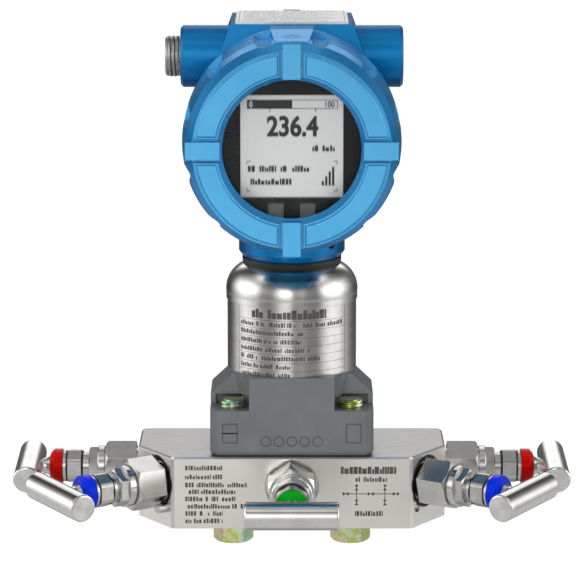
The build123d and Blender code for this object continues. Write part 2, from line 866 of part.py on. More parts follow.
def front_cover():
    # Drawn about Z with the window at the top, then laid along -Y
    rear = cover_rear_y
    face = front_face_y
    seat = face - lip_thickness
    glass_low = seat - glass_thickness
    thread_end = barrel_half + thread_length + thread_end_gap
    ring_low = glass_low - retainer_thickness
    cover = turned([
        (thread_r + cover_gap, rear),
        (cover_r - rear_edge, rear),
        (cover_r, rear + rear_edge),
        (cover_r, cover_shoulder_y),
        (cover_bend_r, cover_bend_y),
        (cover_taper_r, cover_taper_y),
        (band_outer_r + band_root, face - band_step),
        (band_outer_r, face - band_step),
        (band_outer_r, face),
        (band_inner_r, face),
        (window_r, face - lip_thickness * window_bevel_part),
        (window_r, seat),
        (glass_r + fit_gap, seat),
        (glass_r + fit_gap, glass_low),
        (retainer_outer_r + fit_gap, glass_low),
        (retainer_outer_r + fit_gap, ring_low),
        (cover_bore_r, ring_low),
        (cover_bore_r, thread_end),
        (thread_r + cover_gap, thread_end),
    ])
    for notch in grip_notches():
        cover = cover - notch
    for groove in lug_grooves(face - lug_groove, face + 1, lug_groove_r):
        cover = cover - groove
    for lug in cross_lugs(seat, face + lug_proud):
        cover = cover + lug
    flip = Rot(180, 0, 0)
    cover = along_y(flip * cover) + Pos(0, 0, axis_height) * top_flat()
    save("front_cover", cover)
    glass = rod(glass_r, glass_low + fit_gap, seat)
    save("window_glass", along_y(flip * glass))
    ring = tube(retainer_outer_r, retainer_inner_r, ring_low, glass_low)
    save("window_retainer", along_y(flip * ring))
    save("front_cover_oring", along_y(flip * cover_oring()))


def cover_oring():
    section = cover_seal_gap / 2 - fit_gap
    return Pos(0, 0, barrel_half + cover_seal_gap / 2) * Torus(thread_r + fit_gap + section, section)


def rear_cover():
    rear = cover_rear_y
    face = rear_face_y
    cover = turned([
        (thread_r + cover_gap, rear),
        (rear_cover_r - rear_edge, rear),
        (rear_cover_r, rear + rear_edge),
        (rear_cover_r, face - rear_side_end),
        (band_outer_r + band_root, face - band_step),
        (band_outer_r, face - band_step),
        (band_outer_r, face),
        (band_inner_r, face),
        (window_r, face - rear_dish),
        (0, face - rear_dish),
        (0, face - rear_wall),
        (thread_r + cover_gap, face - rear_wall),
    ])
    for groove in lug_grooves(face - band_step, face + 1, band_outer_r + 1):
        cover = cover - groove
    for lug in cross_lugs(face - rear_wall + 1, face + lug_proud):
        cover = cover + lug
    save("rear_cover", along_y(cover))
    save("rear_cover_oring", along_y(cover_oring()))


def button_spots():
    return (("button_left", -button_offset), ("button_right", button_offset))


def display():
    front = -bezel_front_y
    rear = -bezel_rear_y
    bezel = along_y(rod(bezel_r, front, rear))
    half = screen_half + screen_gap
    z = axis_height
    bezel = bezel - slab(-half, half, front - 1, front + screen_thickness, z - half, z + half)
    top = z - button_top
    for name, x in button_spots():
        gap = button_gap
        bezel = bezel - slab(x - button_width / 2 - gap, x + button_width / 2 + gap,
                             front - 1, front + button_depth + button_back_gap,
                             top - button_height - gap, top + gap)
        button = slab(x - button_width / 2, x + button_width / 2, front - button_proud,
                      front + button_depth, top - button_height, top)
        save(name, button)
    save("display_bezel", bezel)
    screen = slab(-screen_half, screen_half, front + screen_sunk, front + screen_thickness,
                  z - screen_half, z + screen_half)
    corners = screen.edges().filter_by(Axis.Y).group_by(Axis.Z)[-1]
    screen = chamfer(corners, screen_clip)
    save("display_screen", screen)
    save("electronics_module", along_y(rod(electronics_r, rear, -partition_half)))


def terminals():
    high = partition_half + terminal_thickness
    block = along_y(rod(terminal_r, partition_half, high))
    core = terminal_screw_r / 2
    screws = []
    for x in (-terminal_pitch, 0, terminal_pitch):
        spot = Pos(x, high, axis_height) * Rot(-90, 0, 0)
        block = block - spot * rod(core + thread_gap, -terminal_hole_depth, 1)
        shank = rod(core, terminal_hole_floor - terminal_hole_depth, 0)
        head = rod(terminal_screw_r, 0, terminal_screw_proud + terminal_slot_depth)
        reach = terminal_screw_r + 1
        slot = slab(-reach, reach, -terminal_slot_half, terminal_slot_half,
                    terminal_screw_proud, terminal_screw_proud + terminal_slot_depth + 1)
        screws.append(spot * (shank + (head - slot)))
    save("terminal_block", block)
    save("terminal_screws", Compound(children=screws))


os.makedirs("parts", exist_ok=True)
manifold_block()
retaining_pins()
flange_bolts()
flange_gasket()
sensor_flange()
seals_and_diaphragms()
sensor_module()
valves()
housing_body()
housing_screws()
name_plate()
conduit_plug()
front_cover()
rear_cover()
display()
terminals()
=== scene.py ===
"""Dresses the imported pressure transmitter: finishes, threads, markings, display and studio."""

import json
import math
import random

import bmesh
import bpy
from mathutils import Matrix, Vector


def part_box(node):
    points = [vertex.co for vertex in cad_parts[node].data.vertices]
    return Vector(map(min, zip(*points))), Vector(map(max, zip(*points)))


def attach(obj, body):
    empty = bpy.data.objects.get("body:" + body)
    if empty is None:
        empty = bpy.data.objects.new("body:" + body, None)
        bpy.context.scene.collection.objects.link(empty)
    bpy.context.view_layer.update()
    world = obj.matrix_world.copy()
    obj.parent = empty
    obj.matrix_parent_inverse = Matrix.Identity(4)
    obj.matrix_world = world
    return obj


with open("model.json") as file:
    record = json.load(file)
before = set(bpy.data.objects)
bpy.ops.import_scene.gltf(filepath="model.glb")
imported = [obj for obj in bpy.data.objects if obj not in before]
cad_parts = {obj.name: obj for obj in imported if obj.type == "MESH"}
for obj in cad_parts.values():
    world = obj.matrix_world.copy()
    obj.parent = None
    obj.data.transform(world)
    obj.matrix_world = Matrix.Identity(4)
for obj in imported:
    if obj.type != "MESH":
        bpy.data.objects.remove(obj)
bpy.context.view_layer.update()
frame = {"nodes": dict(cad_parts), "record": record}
nodes = frame["nodes"]
scene = bpy.context.scene
MM = 0.001
FULL_TURN = 2 * math.pi
UPWARD = Vector((0.0, 0.0, 1.0))

# The five valves with the tilt of each handle in degrees, and the way in which each rises when it opens
HANDLE_TILTS = {"left_isolate": -4.5, "right_isolate": 4.5, "left_vent": -2.5, "right_vent": 2.5,
                "equalize": 0.0}
WAYS = {
    joint["name"][: -len("_lift")]: Vector(joint["axis"])
    for joint in frame["record"]["behaviour"]["joints"]
    if joint["name"].endswith("_lift")
}


def middle(node):
    low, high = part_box(node)
    return (low + high) / 2


def reach(node, way):
    """How far a node goes along a way, in metres from the origin."""
    return max((nodes[node].matrix_world @ corner.co).dot(way) for corner in nodes[node].data.vertices)


def face_centre(node, round_node, way):
    """The point where the axis of one node leaves the outer face of another, along a way."""
    centre = middle(round_node)
    return centre + way * (reach(node, way) - centre.dot(way))


# Shaders: one helper adds any node, the next ones lay the skins that all finishes share
def linear(code):
    """A colour as written, #rrggbb in sRGB, turned to the linear values that a shader takes."""
    shares = [int(code[i : i + 2], 16) / 255 for i in (1, 3, 5)]
    return [s / 12.92 if s <= 0.04045 else ((s + 0.055) / 1.055) ** 2.4 for s in shares] + [1.0]


def add(tree, kind, feeds=None, stops=None, **settings):
    """Adds one shader node. A feed is a socket to link or a value to set, and stops fill a colour ramp."""
    made = tree.nodes.new("ShaderNode" + kind)
    for key, value in settings.items():
        setattr(made, key, value)
    for key, value in (feeds or {}).items():
        if isinstance(value, bpy.types.NodeSocket):
            tree.links.new(value, made.inputs[key])
        else:
            made.inputs[key].default_value = value
    if stops:
        points = made.color_ramp.elements
        while len(points) < len(stops):
            points.new(1.0)
        for point, (place, colour) in zip(points, stops):
            point.position = place
            point.color = linear(colour) if isinstance(colour, str) else (colour,) * 3 + (1.0,)
    return made


# Sockets of the Mix node when it mixes colours: how much, from, to, and the result
SHARE, FROM, TO, MIXED = 0, 6, 7, 2
# The noise between which a colour drifts from its dark to its light shade
DRIFT_DARK, DRIFT_LIGHT = 0.35, 0.65
BEVEL_SAMPLES = 4


def started(name, **sockets):
    """A new material, its node tree and its surface shader with plain settings."""
    material = bpy.data.materials.new(name)
    material.use_nodes = True
    tree = material.node_tree
    shader = tree.nodes["Principled BSDF"]
    for key, value in sockets.items():
        shader.inputs[key.replace("_", " ")].default_value = value
    return material, tree, shader


def cells(size_mm):
    """The scale at which a pattern's cells are this many millimetres wide."""
    return 1 / (size_mm * MM)


def mottled(tree, shader, where, size_mm, dark, light):
    """Colour that drifts a little between two close shades."""
    blotches = add(tree, "TexNoise", {"Vector": where, "Scale": cells(size_mm)}).outputs["Fac"]
    stops = [(DRIFT_DARK, dark), (DRIFT_LIGHT, light)]
    drift = add(tree, "ValToRGB", {"Fac": blotches}, stops=stops).outputs["Color"]
    tree.links.new(drift, shader.inputs["Base Color"])
    return drift


def uneven_gloss(tree, shader, where, size_mm, smooth, rough):
    """Roughness that drifts between two values."""
    smears = add(tree, "TexNoise", {"Vector": where, "Scale": cells(size_mm)}).outputs["Fac"]
    gloss = add(tree, "MapRange", {"Value": smears, "To Min": smooth, "To Max": rough}).outputs["Result"]
    tree.links.new(gloss, shader.inputs["Roughness"])


def bumped(tree, shader, where, grain_mm, detail, strength, depth_mm, edge_mm):
    """A fine relief, and every edge rounded by a small radius, as casting, blasting or tumbling does."""
    relief = {"Vector": where, "Scale": cells(grain_mm), "Detail": detail}
    relief = add(tree, "TexNoise", relief).outputs["Fac"]
    edges = add(tree, "Bevel", {"Radius": edge_mm * MM}, samples=BEVEL_SAMPLES).outputs["Normal"]
    feeds = {"Height": relief, "Strength": strength, "Distance": depth_mm * MM, "Normal": edges}
    tree.links.new(add(tree, "Bump", feeds).outputs["Normal"], shader.inputs["Normal"])


def blue_polyurethane_paint(name, dark, light, edge, flake):
    # Two-pack polyurethane with metal flake, sprayed on die-cast aluminium. The flakes lie flat, and Layer
    # Weight mixes the base colour towards the deep edge colour where the paint turns away: partly the
    # flakes' flop, partly painted shade on rims, slopes and groove sides. The droplets, 1.6 mm apart, leave
    # a faint orange peel
    material, tree, shader = started(name, Metallic=flake, Specular_IOR_Level=0.1,
                                     Specular_Tint=linear("#b4e2ff"), Coat_Weight=0.12, Coat_Roughness=0.1)
    where = add(tree, "TexCoord").outputs["Object"]
    drift = mottled(tree, shader, where, size_mm=30, dark=dark, light=light)
    # The edge colour is painted shade where the paint turns away
    facing = add(tree, "LayerWeight", {"Blend": 0.5}).outputs["Facing"]
    turned = add(tree, "MapRange", {"Value": facing, "From Min": 0.02, "From Max": 0.6}).outputs["Result"]
    flop_and_painted_shade = add(tree, "Mix", {SHARE: turned, FROM: drift, TO: linear(edge)}, data_type="RGBA").outputs[MIXED]
    tree.links.new(flop_and_painted_shade, shader.inputs["Base Color"])
    uneven_gloss(tree, shader, where, size_mm=6, smooth=0.22, rough=0.3)
    bumped(tree, shader, where, grain_mm=1.6, detail=1.0, strength=0.12, depth_mm=0.1, edge_mm=0.5)
    return material


def grey_polyurethane_paint():
    # Satin grey paint on a sand-cast flange: the 0.9 mm grain of the sand shows through as a pebbled skin,
    # and the casting's edges are soft
    material, tree, shader = started("satin_grey_paint_on_cast_iron")
    where = add(tree, "TexCoord").outputs["Object"]
    mottled(tree, shader, where, size_mm=12, dark="#595d5f", light="#5f6366")
    uneven_gloss(tree, shader, where, size_mm=3, smooth=0.38, rough=0.5)
    bumped(tree, shader, where, grain_mm=0.9, detail=2.0, strength=0.2, depth_mm=0.08, edge_mm=0.45)
    return material


# Where the normal's height lies between these, a face of the block goes from ground to the top's streaked
# grey, darkened as painted shade
GROUND_UPWARD, MILLED_UPWARD = 0.8, 0.95
# The grain runs along the block: it is drawn out this many times as long as it is wide
GRAIN_STRETCH = 12.5


def ground_stainless():
    # Stainless bar, ground and glass-bead blasted: a pale even grey with a faint lengthwise grain. Its top
    # is drawn
    # a duller grey with streaks along it: the streaks are the milling's, the duller grey is painted shade.
    # The grit's lines are really 0.1 mm apart and are drawn 0.35 mm apart, so that they show
    material, tree, shader = started("ground_stainless_steel", Metallic=1.0)
    where = add(tree, "TexCoord").outputs["Object"]
    lengthwise = (1 / GRAIN_STRETCH, 1.0, 1.0)
    grain = add(tree, "Mapping", {"Vector": where, "Scale": lengthwise}).outputs["Vector"]
    ground = mottled(tree, shader, where, size_mm=18, dark="#e3e0db", light="#eae7e2")
    # Faces that look up turn to the darker streaked grey: painted shade with real milling streaks
    upward = add(tree, "SeparateXYZ", {"Vector": add(tree, "NewGeometry").outputs["Normal"]}).outputs["Z"]
    milling_and_painted_shade = add(tree, "MapRange", {"Value": upward, "From Min": GROUND_UPWARD, "From Max": MILLED_UPWARD})
    shaded_top_greys = [(0.3, "#a3a2a0"), (0.7, "#b4b3b1")]
    streaks = add(tree, "TexNoise", {"Vector": grain, "Scale": cells(1.2), "Detail": 3.0}).outputs["Fac"]
    streaks = add(tree, "ValToRGB", {"Fac": streaks}, stops=shaded_top_greys)
    faces = {SHARE: milling_and_painted_shade.outputs["Result"], FROM: ground, TO: streaks.outputs["Color"]}
    tree.links.new(add(tree, "Mix", faces, data_type="RGBA").outputs[MIXED], shader.inputs["Base Color"])
    uneven_gloss(tree, shader, grain, size_mm=0.5, smooth=0.26, rough=0.36)
    bumped(tree, shader, grain, grain_mm=0.35, detail=3.0, strength=0.15, depth_mm=0.03, edge_mm=0.3)
    return material


def turned_stainless(name, axis, centre, smooth, rough, grain_mm, anisotropic,
                     dark="#c9c7c4", light="#d3d1ce"):
    # Stainless bar turned in a lathe about one axis: fine rings round it, which draw highlights out across
    # them. A finishing tool leaves rings 0.1 mm apart, drawn at grain_mm so that they show
    material, tree, shader = started(name, Metallic=1.0, Anisotropic=anisotropic, Anisotropic_Rotation=0.25)
    where = add(tree, "TexCoord").outputs["Object"]
    arm = add(tree, "VectorMath", {0: where, 1: centre}, operation="SUBTRACT").outputs["Vector"]
    along = add(tree, "VectorMath", {0: arm, 1: axis}, operation="DOT_PRODUCT").outputs["Value"]
    round_way = add(tree, "VectorMath", {0: axis, 1: arm}, operation="CROSS_PRODUCT").outputs["Vector"]
    out = add(tree, "VectorMath", {0: round_way}, operation="LENGTH").outputs["Value"]
    tangent = add(tree, "VectorMath", {0: round_way}, operation="NORMALIZE").outputs["Vector"]
    rings = add(tree, "CombineXYZ", {"X": along, "Y": out}).outputs["Vector"]
    mottled(tree, shader, where, size_mm=9, dark=dark, light=light)
    uneven_gloss(tree, shader, rings, size_mm=grain_mm * 4, smooth=smooth, rough=rough)
    bumped(tree, shader, rings, grain_mm=grain_mm, detail=3.0, strength=0.18, depth_mm=0.02, edge_mm=0.25)
    tree.links.new(tangent, shader.inputs["Tangent"])
    return material


def cold_drawn_stainless():
    # Nuts, glands, pins and inner pieces cut from drawn bar: bright, with light random scratches, really
    # 0.1 mm apart and drawn 0.4 mm apart
    material, tree, shader = started("bright_stainless_steel", Metallic=1.0)
    where = add(tree, "TexCoord").outputs["Object"]
    mottled(tree, shader, where, size_mm=5, dark="#bdbbb8", light="#cac8c5")
    uneven_gloss(tree, shader, where, size_mm=1.2, smooth=0.18, rough=0.3)
    bumped(tree, shader, where, grain_mm=0.4, detail=3.0, strength=0.1, depth_mm=0.02, edge_mm=0.25)
    return material


def oiled_thread_steel():
    # Plug of plain steel with a cut thread: a warm grey, darkened by the cutting oil and torn by the die
    material, tree, shader = started("oiled_thread_cut_steel", Metallic=1.0)
    where = add(tree, "TexCoord").outputs["Object"]
    mottled(tree, shader, where, size_mm=2, dark="#8f8b86", light="#a5a19b")
    uneven_gloss(tree, shader, where, size_mm=0.8, smooth=0.25, rough=0.4)
    bumped(tree, shader, where, grain_mm=0.5, detail=3.0, strength=0.15, depth_mm=0.03, edge_mm=0.15)
    return material


def yellow_zinc():
    # Zinc plate with yellow passivation: patches of straw, green and rose, 7 mm across, over bright metal
    material, tree, shader = started("yellow_passivated_zinc", Metallic=1.0)
    where = add(tree, "TexCoord").outputs["Object"]
    hues = [(0.3, "#a5dcb0"), (0.4, "#e4e6c8"), (0.5, "#bdd055"), (0.6, "#e6dcae"), (0.7, "#d8b9ae")]
    patches = add(tree, "TexNoise", {"Vector": where, "Scale": cells(7), "Detail": 1.0}).outputs["Fac"]
    tint = add(tree, "ValToRGB", {"Fac": patches}, stops=hues)
    tree.links.new(tint.outputs["Color"], shader.inputs["Base Color"])
    uneven_gloss(tree, shader, where, size_mm=2, smooth=0.16, rough=0.28)
    bumped(tree, shader, where, grain_mm=0.6, detail=2.0, strength=0.1, depth_mm=0.03, edge_mm=0.4)
    return material


def moulded(name, dark, light, smooth, rough, edge_mm=0.3, **sockets):
    """A moulded plastic or rubber: one colour through and through, with the 0.5 mm texture of its tool."""
    material, tree, shader = started(name, **sockets)
    where = add(tree, "TexCoord").outputs["Object"]
    mottled(tree, shader, where, size_mm=6, dark=dark, light=light)
    uneven_gloss(tree, shader, where, size_mm=1.5, smooth=smooth, rough=rough)
    bumped(tree, shader, where, grain_mm=0.5, detail=2.0, strength=0.1, depth_mm=0.03, edge_mm=edge_mm)
    return material


# One dot of the display, and the gap between two
DOT_MM, DOT_GAP_MM = 0.35, 0.04


def liquid_crystal():
    # Reflective liquid crystal panel: light grey, with its grid of dots just visible
    material, tree, shader = started("reflective_liquid_crystal")
    where = add(tree, "TexCoord").outputs["Object"]
    upright = add(tree, "VectorRotate", {"Vector": where, "Angle": math.pi / 2}, rotation_type="X_AXIS")
    dots = {"Vector": upright.outputs["Vector"], "Scale": 1.0, "Color1": linear("#cacac9"),
            "Color2": linear("#c7c7c6"), "Mortar": linear("#bebebd"), "Mortar Size": DOT_GAP_MM * MM,
            "Brick Width": DOT_MM * MM, "Row Height": DOT_MM * MM}
    grid = add(tree, "TexBrick", dots, offset=0.0)
    tree.links.new(grid.outputs["Color"], shader.inputs["Base Color"])
    uneven_gloss(tree, shader, where, size_mm=4, smooth=0.35, rough=0.45)
    return material


# How much of the light goes straight through the window, without bending
GLASS_CLEAR = 0.8


def toughened_glass():
    # Flat toughened glass: clear, with a faint sheen. It lets the lamps' light through to the display
    material, tree, shader = started("toughened_window_glass", Roughness=0.0, IOR=1.5,
                                     Specular_IOR_Level=0.04, Transmission_Weight=1.0,
                                     Base_Color=linear("#fbfbfb"))
    clear = add(tree, "BsdfTransparent", {"Color": linear("#f8f8f8")})
    shadow = add(tree, "LightPath").outputs["Is Shadow Ray"]
    share = add(tree, "Math", {0: shadow, 1: GLASS_CLEAR}, operation="MAXIMUM").outputs[0]
    both = add(tree, "MixShader", {0: share, 1: shader.outputs[0], 2: clear.outputs[0]})
    tree.links.new(both.outputs[0], tree.nodes["Material Output"].inputs["Surface"])
    return material


def coloured_nylon(name, dark, light, sheen, tint):
    # Injection-moulded nylon cap: a full colour, satin, whose sheen keeps the colour
    return moulded(name, dark, light, smooth=0.25, rough=0.35, edge_mm=0.4, Specular_IOR_Level=sheen,
                   Specular_Tint=linear(tint))


CAST_PAINT = blue_polyurethane_paint("blue_polyurethane_on_cast_aluminium", dark="#0f79b6", light="#147fbd",
                                     edge="#085187", flake=0.3)
# The covers take a paler copy of the same blue paint, with more flake: the paleness is painted light, for
# the light their faces catch
LIT_COVER_PAINT = blue_polyurethane_paint("blue_polyurethane_on_turned_cover", dark="#51a3d3", light="#58abda",
                                      edge="#1c7cba", flake=0.5)
BRIGHT_STEEL = cold_drawn_stainless()
OILED_STEEL = oiled_thread_steel()
# Nitrile rubber: near black and dull
RUBBER = moulded("nitrile_rubber", "#0e0e0e", "#151515", smooth=0.5, rough=0.65)

FINISHES = {
    "block_steel": ground_stainless(),
    "turned_steel": BRIGHT_STEEL,
    "handle_steel": BRIGHT_STEEL,
    "flange_paint": grey_polyurethane_paint(),
    "housing_paint": CAST_PAINT,
    "yellow_zinc": yellow_zinc(),
    "black_rubber": RUBBER,
    # Sintered white packing, waxy
    "white_ptfe": moulded("white_ptfe", "#e6e6e2", "#eeeeea", smooth=0.35, rough=0.45),
    # Green lacquer on glass fibre, glossy
    "circuit_board": moulded("green_solder_mask", "#123f22", "#16512b", smooth=0.25, rough=0.35),
    # Spark-eroded black frame behind the window, without a highlight
    "black_plastic": moulded("black_polycarbonate", "#050606", "#080909", smooth=0.45, rough=0.6,
                             Specular_IOR_Level=0.2),
    "screen_grey": liquid_crystal(),
    # Soft grey keys with rounded edges
    "button_grey": moulded("grey_silicone_keys", "#5a5b5a", "#646564", smooth=0.45, rough=0.6, edge_mm=0.5,
                           Specular_IOR_Level=0.3),
    # Matt silver foil, near white under the lamps
    "plate_metal": moulded("satin_aluminium_foil", "#e4e5e6", "#ececed", smooth=0.3, rough=0.4, edge_mm=0.1,
                           Metallic=0.6),
    # Screws of the terminals and the ground, a warm yellow metal
    "brass_plated": moulded("plated_brass", "#b3924e", "#c2a05a", smooth=0.25, rough=0.35, Metallic=1.0),
    # Blackened and oiled screws, a dark sheen
    "black_oxide": moulded("black_oxide_steel", "#141414", "#1c1c1c", smooth=0.3, rough=0.45, Metallic=0.5),
    "red_plastic": coloured_nylon("red_nylon", "#b40202", "#be0303", sheen=0.3, tint="#ff897c"),
    "blue_plastic": coloured_nylon("blue_nylon", "#0626c4", "#082cd0", sheen=0.3, tint="#7ca0ff"),
    "green_plastic": coloured_nylon("green_nylon", "#038a14", "#049417", sheen=0.15, tint="#95ffa0"),
    "window_glass": toughened_glass(),
}

# Printing ink on the block: a soft black. On the top plate it is faint
INK = moulded("black_marking_ink", "#3a3936", "#474642", smooth=0.5, rough=0.6, edge_mm=0.01)
FAINT_INK = moulded("faint_grey_ink", "#8d8c8a", "#999896", smooth=0.5, rough=0.6, edge_mm=0.01)
# Steel burnt by a laser: dull brown-grey lines
ETCHED = moulded("laser_etched_steel", "#4a4846", "#5c5a57", smooth=0.4, rough=0.5, edge_mm=0.01,
                 Metallic=0.6)
# Liquid crystal switched on, near black, and switched off, as light as the screen
SEGMENT = moulded("dark_liquid_crystal", "#262626", "#2c2c2c", smooth=0.4, rough=0.5, edge_mm=0.01,
                  Specular_IOR_Level=0.2)
SEGMENT_CLEAR = moulded("clear_liquid_crystal", "#c4c4c3", "#cbcbca", smooth=0.4, rough=0.5, edge_mm=0.01)
# The lines cast in the flange are coloured darker than the paint round them: painted shade along the lines
CAST_LINE_SHADE = moulded("paint_in_cast_lines", "#3e4143", "#45484a", smooth=0.5, rough=0.6, edge_mm=0.05)


def give(node, material):
    mesh = nodes[node].data
    mesh.materials.clear()
    mesh.materials.append(material)


for part in frame["record"]["subparts"]:
    give(part["node"], FINISHES[part["material_slot"]])
give("front_cover", LIT_COVER_PAINT)
give("rear_cover", LIT_COVER_PAINT)
give("conduit_plug", OILED_STEEL)
give("module_shell", turned_stainless("turned_module_steel", UPWARD, middle("module_shell"), smooth=0.16,
                                      rough=0.24, grain_mm=0.4, anisotropic=0.8))
for valve, way in WAYS.items():
    steel = turned_stainless(valve + "_turned_steel", way, middle(valve + "_stem"), smooth=0.16, rough=0.26,
                             grain_mm=0.3, anisotropic=0.4)
    for piece in ("_bonnet", "_stem", "_tip"):
        give(valve + piece, steel)
    tilt = math.radians(HANDLE_TILTS[valve])
    bar = Vector((-way.y * math.cos(tilt), way.x * math.cos(tilt), math.sin(tilt)))
    handle = valve + "_handle"
    give(handle, turned_stainless(valve + "_bar_steel", bar, middle(handle), smooth=0.14, rough=0.2,
                                  grain_mm=0.35, anisotropic=0.85, dark="#dad8d5", light="#e3e1de"))


# Meshes: a piece, a skin over rows of corners, and a section turned round an axis
def make(name, mesh, material, body):
    """Turns a bmesh into a piece that rides on a body."""
    bmesh.ops.recalc_face_normals(mesh, faces=mesh.faces)
    data = bpy.data.meshes.new(name)
    mesh.to_mesh(data)
    mesh.free()
    data.materials.append(material)
    piece = bpy.data.objects.new(name, data)
    scene.collection.objects.link(piece)
    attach(piece, body)
    return piece


def skin(mesh, rows):
    """Joins closed rows of corners, each to the next."""
    for a, b in zip(rows, rows[1:]):
        for index in range(len(a)):
            after = (index + 1) % len(a)
            mesh.faces.new((a[index], a[after], b[after], b[index]))


ROUND_STEPS = 48


def lathed(section, start, way):
    """Turns a section of (radius, height) points, in mm, round a way from a start point."""
    side = way.orthogonal().normalized()
    other = way.cross(side)
    turns = [FULL_TURN * index / ROUND_STEPS for index in range(ROUND_STEPS)]
    mesh = bmesh.new()
    spokes = [side * math.cos(turn) + other * math.sin(turn) for turn in turns]
    rows = []
    for radius, out in section:
        rows.append([mesh.verts.new(start + way * out * MM + spoke * radius * MM) for spoke in spokes])
    skin(mesh, rows)
    return mesh


# Marks: flat shapes of (across, down) points in mm
# They stand this far off their face, so that they show
PRINT_PROUD = 0.03
COLUMN = 2.5


def printed(name, shapes, place, material, body):
    """Flat marks of ink or etching, put in space by place."""
    mesh = bmesh.new()
    for shape in shapes:
        mesh.faces.new([mesh.verts.new(place(*point)) for point in shape])
    return make(name, mesh, material, body)


def oblong(left, top, right, bottom):
    """A rectangle cut into columns, so that it can follow a round wall."""
    count = max(1, math.ceil((right - left) / COLUMN))
    edges = [left + (right - left) * index / count for index in range(count + 1)]
    return [[(a, top), (b, top), (b, bottom), (a, bottom)] for a, b in zip(edges, edges[1:])]


def line_frame(left, top, right, bottom, line):
    return (oblong(left, top, right, top + line) + oblong(left, bottom - line, right, bottom)
            + oblong(left, top, left + line, bottom) + oblong(right - line, top, right, bottom))


# Strokes of small print: their widths as shares of the height, how often there is one and not a gap, and
# how far down each may start, as small letters do
STROKE_NARROW, STROKE_WIDE = 0.3, 0.75
STROKE_CHANCE = 0.88
STROKE_DROPS = (0.0, 0.0, 0.22, 0.34)
# How much of its width a stroke fills in fine, plain and heavy print
FINE, PLAIN, HEAVY = 0.72, 0.8, 0.86


def dashes(left, top, right, height, seed, filled=FINE):
    """A row of short strokes of uneven length, as small print looks from afar."""
    chance = random.Random(seed)
    shapes = []
    while left < right:
        wide = min(height * chance.uniform(STROKE_NARROW, STROKE_WIDE), right - left)
        if chance.random() < STROKE_CHANCE:
            drop = chance.choice(STROKE_DROPS) * height
            shapes += oblong(left, top + drop, left + wide * filled, top + height)
        left += wide
    return shapes


# Display: all places are in mm from the screen's top left corner
# The bar graph: its frame, how far it is filled, and the scale's ticks under it
GRAPH_LEFT, GRAPH_TOP, GRAPH_RIGHT, GRAPH_BOTTOM = 2.9, 1.9, 42.2, 5.9
GRAPH_FILLED = 22.5
GRAPH_LINE = 0.3
TICKS = (12.5, 32.4)
TICK_WIDE, TICK_BOTTOM = 0.4, 7.2
# Rows of strokes: left, top, right, height and the seed of their draws
DISPLAY_ROWS = [(31.2, 21.9, 41.2, 2.6, 3), (3.2, 30.8, 30.2, 2.7, 5), (3.2, 36.5, 22.4, 2.7, 8)]
# The four corner ticks: the frame on whose corners they lie, and their arms
CORNER_LEFT, CORNER_TOP, CORNER_RIGHT, CORNER_BOTTOM = 2.6, 28.7, 42.2, 42.1
CORNER_ACROSS, CORNER_DOWN, CORNER_LINE = 1.8, 1.5, 0.35
# The level sign: four bars, each a step to the right and taller
LEVEL_LEFT, LEVEL_FOOT = 35.3, 39.6
LEVEL_STEP, LEVEL_TALLER, LEVEL_WIDE = 1.5, 2.1, 1.0
# Figures: what they say, their height and stroke, where their foot's middle stands, and their material
FIGURES = {
    "display_reading": ("236.4", 12.0, 0.42, (22.6, 17.6), SEGMENT),
    "scale_start": ("0", 3.6, 0.08, (4.6, 5.1), SEGMENT_CLEAR),
    "scale_end": ("100", 3.6, 0.08, (38.6, 5.1), SEGMENT),
}
FIGURE_NARROW, FIGURE_FLAT = 0.84, 0.05
FIGURE_THICK, FIGURE_PROUD = 0.012, 0.02


def numerals(name, figures, height, stroke, foot, material):
    """Plain figures on the display, standing upright and facing the camera's side."""
    words = bpy.data.curves.new(name, "FONT")
    words.body = figures
    words.size = height * MM
    words.extrude = FIGURE_THICK * MM
    words.bevel_depth = stroke * MM
    words.align_x = "CENTER"
    words.materials.append(material)
    piece = bpy.data.objects.new(name, words)
    piece.location = Vector(foot) - Vector((0, FIGURE_PROUD * MM, 0))
    piece.rotation_euler = (math.pi / 2, 0, 0)
    piece.scale = (FIGURE_NARROW, 1, FIGURE_FLAT)
    scene.collection.objects.link(piece)
    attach(piece, "housing")


def corner_ticks():
    shapes = []
    sides = [(CORNER_LEFT, CORNER_LEFT), (CORNER_RIGHT - CORNER_ACROSS, CORNER_RIGHT - CORNER_LINE)]
    levels = [(CORNER_TOP, CORNER_TOP), (CORNER_BOTTOM - CORNER_DOWN, CORNER_BOTTOM - CORNER_LINE)]
    for left, side in sides:
        for top, level in levels:
            shapes += oblong(left, level, left + CORNER_ACROSS, level + CORNER_LINE)
            shapes += oblong(side, top, side + CORNER_LINE, top + CORNER_DOWN)
    return shapes


def display_marks():
    low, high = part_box("display_screen")

    def place(across, down):
        return (low.x + across * MM, low.y - PRINT_PROUD * MM, high.z - down * MM)

    marks = oblong(GRAPH_LEFT, GRAPH_TOP, GRAPH_FILLED, GRAPH_BOTTOM)
    marks += line_frame(GRAPH_LEFT, GRAPH_TOP, GRAPH_RIGHT, GRAPH_BOTTOM, GRAPH_LINE)
    for tick in TICKS:
        marks += oblong(tick, GRAPH_BOTTOM, tick + TICK_WIDE, TICK_BOTTOM)
    for row in DISPLAY_ROWS:
        marks += dashes(*row, filled=PLAIN)
    marks += corner_ticks()
    for index in range(4):
        left = LEVEL_LEFT + LEVEL_STEP * index
        marks += oblong(left, LEVEL_FOOT - LEVEL_TALLER * (index + 1), left + LEVEL_WIDE, LEVEL_FOOT)
    printed("display_marks", marks, place, SEGMENT, "housing")
    for name, (figures, height, stroke, foot, material) in FIGURES.items():
        numerals(name, figures, height, stroke, place(*foot), material)


